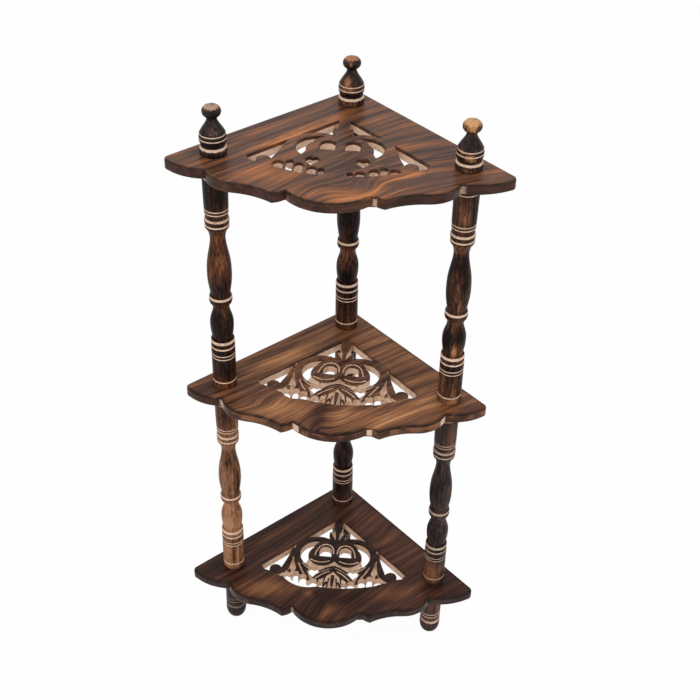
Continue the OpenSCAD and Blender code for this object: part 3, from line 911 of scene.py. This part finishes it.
def finial_rows():
    """Profile of a finial from the bottom up: disc, full vase with two fine rings, flattened knob."""
    rows = [(bore_r, bore_depth, 0), (bore_r, 0, 0), (disc_r - 0.6, 0, 0), (disc_r - 0.1, disc_h * 0.2, 0)]
    rows += [(disc_r, disc_h * 0.45, 0), (disc_r - 0.1, disc_h * 0.75, 0)]
    rows += [(disc_r - 0.4, disc_h * 0.88, 0.9), (disc_r - 0.9, disc_h, 1.0)]
    rows += [(disc_r - 1.3, disc_h + 0.5, 1.0)]
    rows += [(vase_foot_r + 0.6, disc_h + 0.9, 0.6), (vase_foot_r + 0.2, disc_h + 1.2, 0.0)]
    body = vase(
        cove_top, knob_from - cove_top, vase_belly, vase_foot_r, post_r + 0.5, finial_neck_r, 1.2
    )
    for z in vase_ring_z:
        r = np.interp(z, [b[1] for b in body], [b[0] for b in body])
        body = [b for b in body if abs(b[1] - z) > ring_cut] + cut_ring(z, r)
        body.sort(key=lambda b: b[1])
    rows += body
    for a in np.radians(np.linspace(knob_turn, knob_cut, 14)):
        rows.append((knob_r * math.cos(a), knob_z + math.sin(a) * knob_h / 2, 0.0))
    top_r = knob_r * math.cos(math.radians(knob_cut))
    for share in (0.93, 0.75, 0.5, 0.25, 0.0):
        rows.append((top_r * share, finial_h - top_crown * share ** 2, 0.0))
    return rows


# The foot's rounded toe and its shank
toe_h, toe_flat_r, toe_round_share, toe_steps = 21.5, 6, 0.66, 16
toe_r = post_r - 0.4
shank_r = toe_r - 0.2
shank_ring_z = (toe_h + 8.6, toe_h + 13.4)


def foot_rows():
    """Profile of a foot from the floor up: rounded toe, shoulder ring, two fine rings, shank."""
    rows = [(0, 0, 0), (toe_flat_r * 0.5, 0, 0)]
    for i in range(toe_steps + 1):
        t = math.radians(90 * i / toe_steps)
        toe_z = toe_h * toe_round_share * (1 - math.cos(t))
        rows.append((toe_flat_r + (toe_r - toe_flat_r) * math.sin(t), toe_z, 0.0))
    rows += [(toe_r, toe_h - 3.5, 0.0), (toe_r - 0.5, toe_h - 2.0, 0.7), (toe_r - 1.3, toe_h - 0.8, 1.0)]
    rows += [(toe_r - 1.9, toe_h, 1.0), (toe_r - 1.1, toe_h + 0.8, 1.0), (toe_r - 0.3, toe_h + 1.4, 0.6)]
    rows += plain(toe_h + 3, toe_h + 7, shank_r, shank_r)
    rows += cut_ring(shank_ring_z[0], shank_r) + cut_ring(shank_ring_z[1], shank_r)
    rows += plain(toe_h + 16, foot_h - 1, shank_r, shank_r) + [(shank_r, foot_h, 0.0)]
    return rows + [(bore_r, foot_h, 0), (bore_r, foot_h - bore_depth, 0)]


# Points round a turned piece, how far it is out of true along slow and quick waves, and how close, in
# metres, points are that are one point, as at the tip of a finial and in the middle of a foot's sole
around = 72
slow_wobble, quick_wobble = 0.12, 0.06
one_point = 1e-7


def turn(node, rows, patches, seed):
    """A turned piece in the place of its node. patches are lighter or darker places on it: height, angle
    in degrees with 0 to the right and 90 to the back, height and width of the patch, and strength."""
    low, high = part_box(node)
    middle = (low + high) / 2 / MM
    rng = np.random.default_rng(seed)
    wave = rng.uniform(0, 2 * math.pi, 4)
    angle = np.arange(around) * 2 * math.pi / around
    rings, bares, patch_tones_and_light = [], [], []
    for r, z, bareness in rows:
        lean = slow_wobble * np.sin(z / 19 + wave[0]) * np.sin(angle + wave[1])
        lean = lean + quick_wobble * np.sin(z / 7 + wave[2]) * np.sin(2 * angle + wave[3])
        radius = np.maximum(r + lean * min(1.0, r / post_r) * (r > bore_r), 0)
        rings.append(np.column_stack([radius * np.cos(angle), radius * np.sin(angle), np.full(around, z)]))
        bares.append(np.full(around, bareness))
        patch_tone_and_light = np.zeros(around)
        # Patches add the wood's own lighter and darker tone, and also painted light: the highlight on each
        # finial's knob and the lighter foot of each spindle
        for patch_z, patch_angle, tall, wide, strength in patches:
            swing = (np.degrees(angle) - patch_angle + 180) % 360 - 180
            patch_tone_and_light = patch_tone_and_light + strength * np.exp(-((z - patch_z) / tall) ** 2 - (swing / wide) ** 2)
        patch_tones_and_light.append(patch_tone_and_light)
    co = np.concatenate(rings) + [middle.x, middle.y, low.z / MM]
    ids = np.arange(len(rows) * around).reshape(len(rows), around)
    beside = np.roll(ids, -1, 1)
    faces = np.stack([ids[:-1], beside[:-1], beside[1:], ids[1:]], -1).reshape(-1, 4).tolist()
    faces.append(ids[0][::-1].tolist())
    faces.append(ids[-1].tolist())
    mesh = bpy.data.meshes.new(node + "_turned")
    mesh.from_pydata((co * MM).tolist(), [], faces)
    for title, values in (("bare", bares), ("patch_tone_and_light", patch_tones_and_light)):
        keep_values(mesh, title, values)
    joined = bmesh.new()
    joined.from_mesh(mesh)
    bmesh.ops.remove_doubles(joined, verts=joined.verts, dist=one_point)
    joined.to_mesh(mesh)
    joined.free()
    mesh.validate()
    mesh.polygons.foreach_set("use_smooth", [True] * len(mesh.polygons))
    mesh.set_sharp_from_angle(angle=math.radians(50))
    piece = bpy.data.objects.new(node + "_turned", mesh)
    bpy.context.scene.collection.objects.link(piece)
    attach(piece, "root")
    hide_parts(node)
    return piece


pore_brown = (26, 16, 12)
finial_shine, post_shine = 0.12, 0.06


def turned_finish(name, look, seed):
    """Scorched and waxed turned wood, with the grain along the piece."""
    material, tree, shader = new_finish("scorched_" + name)
    here = fit(tree, "TexCoord").outputs["Object"]
    upended = {"Vector": here, "Angle": math.radians(90)}
    along = fit(tree, "VectorRotate", upended, rotation_type="Y_AXIS").outputs[0]
    along = stretch(tree, along, 1 / MM, 1 / MM, 1 / MM)
    along = shift(tree, along, (seed * 37.0, seed * 11.0, seed * 5.0))
    grained = fit(tree, "Group", {"Place": along}, node_tree=grain).outputs
    patches = noise(tree, stretch(tree, along, 0.022, 0.06, 0.06), detail=2.0, rough=0.5)
    mottle = noise(tree, stretch(tree, along, 0.16, 0.4, 0.4), detail=4.0, rough=0.65)
    tone = calc(tree, "MULTIPLY", grained["Streaks"], 0.8)
    tone = calc(tree, "ADD", tone, calc(tree, "MULTIPLY", patches, 0.4))
    tone = calc(tree, "ADD", tone, calc(tree, "MULTIPLY", mottle, 0.4))
    # The patches: the wood's own tone together with painted highlight and painted light
    tone = calc(tree, "ADD", tone, kept_value(tree, "patch_tone_and_light"))
    tone = calc(tree, "ADD", tone, look["lift"] - 0.3)
    colour = tone_colours(tree, tone, ((0.38, look["dark"]), (0.58, look["mid"]), (0.86, look["light"])))
    colour = mix(tree, calc(tree, "MULTIPLY", grained["Pores"], 0.5), colour, srgb(*pore_brown))
    speck = calc(tree, "SUBTRACT", noise(tree, along, 0.28, 3.0), 0.5)
    bare = calc(tree, "ADD", kept_value(tree, "bare"), calc(tree, "MULTIPLY", speck, 1.1))
    bare = step(tree, bare, 0.4, 0.75, 0.0, look["cut"])
    pale_wood = fit(tree, "Group", {"Place": along}, node_tree=cut_wood).outputs[0]
    colour = mix(tree, bare, colour, pale_wood)
    tree.links.new(colour, shader.inputs["Base Color"])
    shader.inputs["Specular IOR Level"].default_value = finial_shine if "finial" in name else post_shine
    rough = calc(tree, "ADD", calc(tree, "MULTIPLY", mottle, 0.2), 0.3)
    rough = calc(tree, "ADD", rough, calc(tree, "MULTIPLY", bare, 0.3), clamp=True)
    tree.links.new(rough, shader.inputs["Roughness"])
    grain_bump(tree, shader, grained, 0.35)
    return material


# How each turned piece came out of the flame: its darkest, middle and lightest colours, how light it is
# as a whole and how clean its rings are cut; and its patches as turn() takes them, which are partly the
# wood's own tone and partly painted light. The patches high on each finial, from a height of about 43 up,
# are a painted highlight on its knob, and the light patches on the spindles below a height of about 16 are
# painted light against the shade where they stand on a board.
turned_looks = {
    "upper_spindle_left": {
        "dark": (28, 19, 16), "mid": (78, 47, 33), "light": (156, 98, 58), "lift": -0.05, "cut": 1.0,
        "patches": (
            (158, 274, 24, 44, 0.24), (168, 306, 24, 30, 0.16), (192, 281, 8, 200, 0.12),
            (238, 281, 18, 400, -0.08), (102, 285, 7, 100, 0.12), (84, 250, 20, 40, -0.12),
            (72, 281, 9, 200, -0.06), (47, 281, 5, 400, -0.10), (4, 265, 14, 90, 0.20),
            (2, 262, 4, 60, 0.16), (217, 300, 12, 60, 0.08), (135, 300, 16, 40, -0.08),
        ),
    },
    "upper_spindle_back": {
        "dark": (22, 16, 14), "mid": (72, 44, 33), "light": (144, 94, 62), "lift": -0.08, "cut": 0.95,
        "patches": (
            (104, 262, 8, 80, 0.24), (90, 245, 10, 50, 0.20), (134, 256, 18, 16, 0.12),
            (150, 292, 30, 50, -0.12), (72, 274, 8, 90, -0.08), (10, 274, 18, 400, 0.16),
            (2, 274, 4, 90, 0.12),
        ),
    },
    "upper_spindle_right": {
        "dark": (26, 19, 16), "mid": (84, 54, 40), "light": (176, 120, 82), "lift": -0.02, "cut": 1.0,
        "patches": (
            (238, 286, 20, 16, 0.14), (238, 256, 24, 50, 0.10), (240, 320, 24, 18, -0.14),
            (193, 268, 7, 200, 0.22), (176, 300, 14, 30, -0.10), (150, 310, 20, 24, -0.12),
            (128, 286, 14, 18, 0.14), (102, 268, 7, 100, 0.14), (88, 300, 11, 34, -0.22),
            (80, 230, 14, 24, -0.26), (71, 272, 9, 13, 0.44), (47, 268, 6, 400, -0.16),
            (28, 250, 14, 70, 0.08), (14, 290, 10, 40, 0.12), (1, 284, 6, 40, 0.44),
            (1, 250, 6, 60, 0.16),
        ),
    },
    "lower_spindle_left": {
        "dark": (52, 33, 25), "mid": (118, 78, 56), "light": (190, 138, 100), "lift": 0.13, "cut": 0.95,
        "patches": (
            (240, 262, 20, 60, -0.20), (172, 262, 12, 50, -0.10), (192, 281, 7, 200, 0.04),
            (136, 326, 16, 14, -0.34), (104, 281, 10, 300, 0.12), (72, 270, 16, 300, 0.16),
            (47, 300, 5, 60, -0.24), (24, 281, 15, 7, -0.34), (28, 240, 18, 24, 0.16),
            (22, 302, 15, 9, 0.16), (2, 320, 6, 26, -0.16), (152, 306, 26, 10, -0.08),
            (4, 260, 8, 50, 0.18),
        ),
    },
    "lower_spindle_back": {
        "dark": (26, 17, 16), "mid": (62, 42, 37), "light": (112, 76, 58), "lift": -0.05, "cut": 0.85,
        "patches": ((48, 285, 7, 60, 0.18), (16, 274, 22, 400, 0.12), (2, 240, 5, 60, 0.14)),
    },
    "lower_spindle_right": {
        "dark": (32, 27, 27), "mid": (68, 53, 50), "light": (136, 88, 56), "lift": -0.01, "cut": 0.62,
        "patches": (
            (22, 234, 20, 34, 0.36), (22, 276, 20, 26, 0.26), (50, 236, 8, 24, -0.1),
            (4, 255, 9, 60, 0.16), (238, 250, 24, 50, 0.10), (238, 302, 22, 22, 0.24),
            (214, 302, 12, 24, 0.16), (140, 300, 40, 34, 0.14), (82, 262, 16, 60, -0.06),
            (26, 312, 10, 20, 0.16),
        ),
    },
    "finial_left": {
        "dark": (26, 21, 22), "mid": (64, 48, 43), "light": (180, 146, 118), "lift": -0.12, "cut": 1.0,
        "patches": ((49.2, 281, 1.8, 400, 0.62), (26, 285, 6, 30, 0.16), (6, 281, 3, 200, 0.2)),
    },
    "finial_back": {
        "dark": (24, 18, 18), "mid": (84, 54, 42), "light": (176, 120, 82), "lift": -0.12, "cut": 1.0,
        "patches": (
            (26, 252, 6, 24, 0.40), (49.2, 262, 1.6, 400, 0.50), (18, 266, 3, 46, 0.30),
            (4, 262, 4, 60, 0.30), (45, 268, 2, 12, 0.4),
        ),
    },
    "finial_right": {
        "dark": (24, 20, 22), "mid": (90, 58, 40), "light": (212, 158, 106), "lift": -0.12, "cut": 1.0,
        "patches": (
            (48.6, 268, 2.8, 400, 0.5), (43, 262, 4, 46, 0.4), (17, 270, 3, 22, 0.50),
            (21, 232, 3, 8, 0.5), (13, 282, 2, 30, 0.3), (3, 262, 3, 60, 0.20),
        ),
    },
    "foot_left": {
        "dark": (32, 28, 29), "mid": (60, 50, 48), "light": (112, 94, 86), "lift": -0.04, "cut": 0.3,
        "patches": ((60, 262, 16, 30, 0.1),),
    },
    "foot_back": {
        "dark": (30, 24, 24), "mid": (60, 46, 41), "light": (110, 80, 64), "lift": -0.04, "cut": 0.7,
        "patches": (),
    },
    "foot_right": {
        "dark": (44, 31, 30), "mid": (88, 64, 58), "light": (160, 104, 74), "lift": 0.02, "cut": 1.0,
        "patches": (
            (6, 270, 11, 400, -0.26), (14, 255, 14, 50, 0.16), (60, 290, 18, 40, 0.06),
            (6, 300, 8, 40, -0.1),
        ),
    },
}
profiles = {"spindle": spindle_rows(), "finial": finial_rows(), "foot": foot_rows()}
for number, (node, look) in enumerate(turned_looks.items()):
    kind = next(kind for kind in profiles if kind in node)
    piece = turn(node, profiles[kind], look["patches"], seed=number + 1)
    piece.data.materials.append(turned_finish(node, look, number + 1))

# Studs: nine short rods of zinc-plated steel, one through each board at each post. Their ends sit in the
# bored ends of the turned pieces above and below, and so they hold the whole shelf together, unseen.
zinc_dull, zinc_light = (150, 152, 154), (196, 197, 196)
zinc, plate, plate_shader = new_finish("zinc_plated_steel")
plate_place = stretch(plate, fit(plate, "TexCoord").outputs["Object"], 1 / MM, 1 / MM, 1 / MM)
bloom = noise(plate, plate_place, 0.5, 4.0, 0.6)
turned_lines = noise(plate, stretch(plate, plate_place, 0.3, 0.3, 5.0), detail=2.0)
plate_shader.inputs["Metallic"].default_value = 1.0
plate_colour = mix(plate, bloom, srgb(*zinc_dull), srgb(*zinc_light))
plate.links.new(plate_colour, plate_shader.inputs["Base Color"])
plate.links.new(step(plate, bloom, 0.2, 0.8, 0.28, 0.5), plate_shader.inputs["Roughness"])
plate_bump = fit(plate, "Bump", {"Height": turned_lines, "Strength": 0.3, "Distance": 0.0001})
plate.links.new(plate_bump.outputs[0], plate_shader.inputs["Normal"])
for node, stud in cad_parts.items():
    if "_stud_" in node:
        stud.data.materials.clear()
        stud.data.materials.append(zinc)
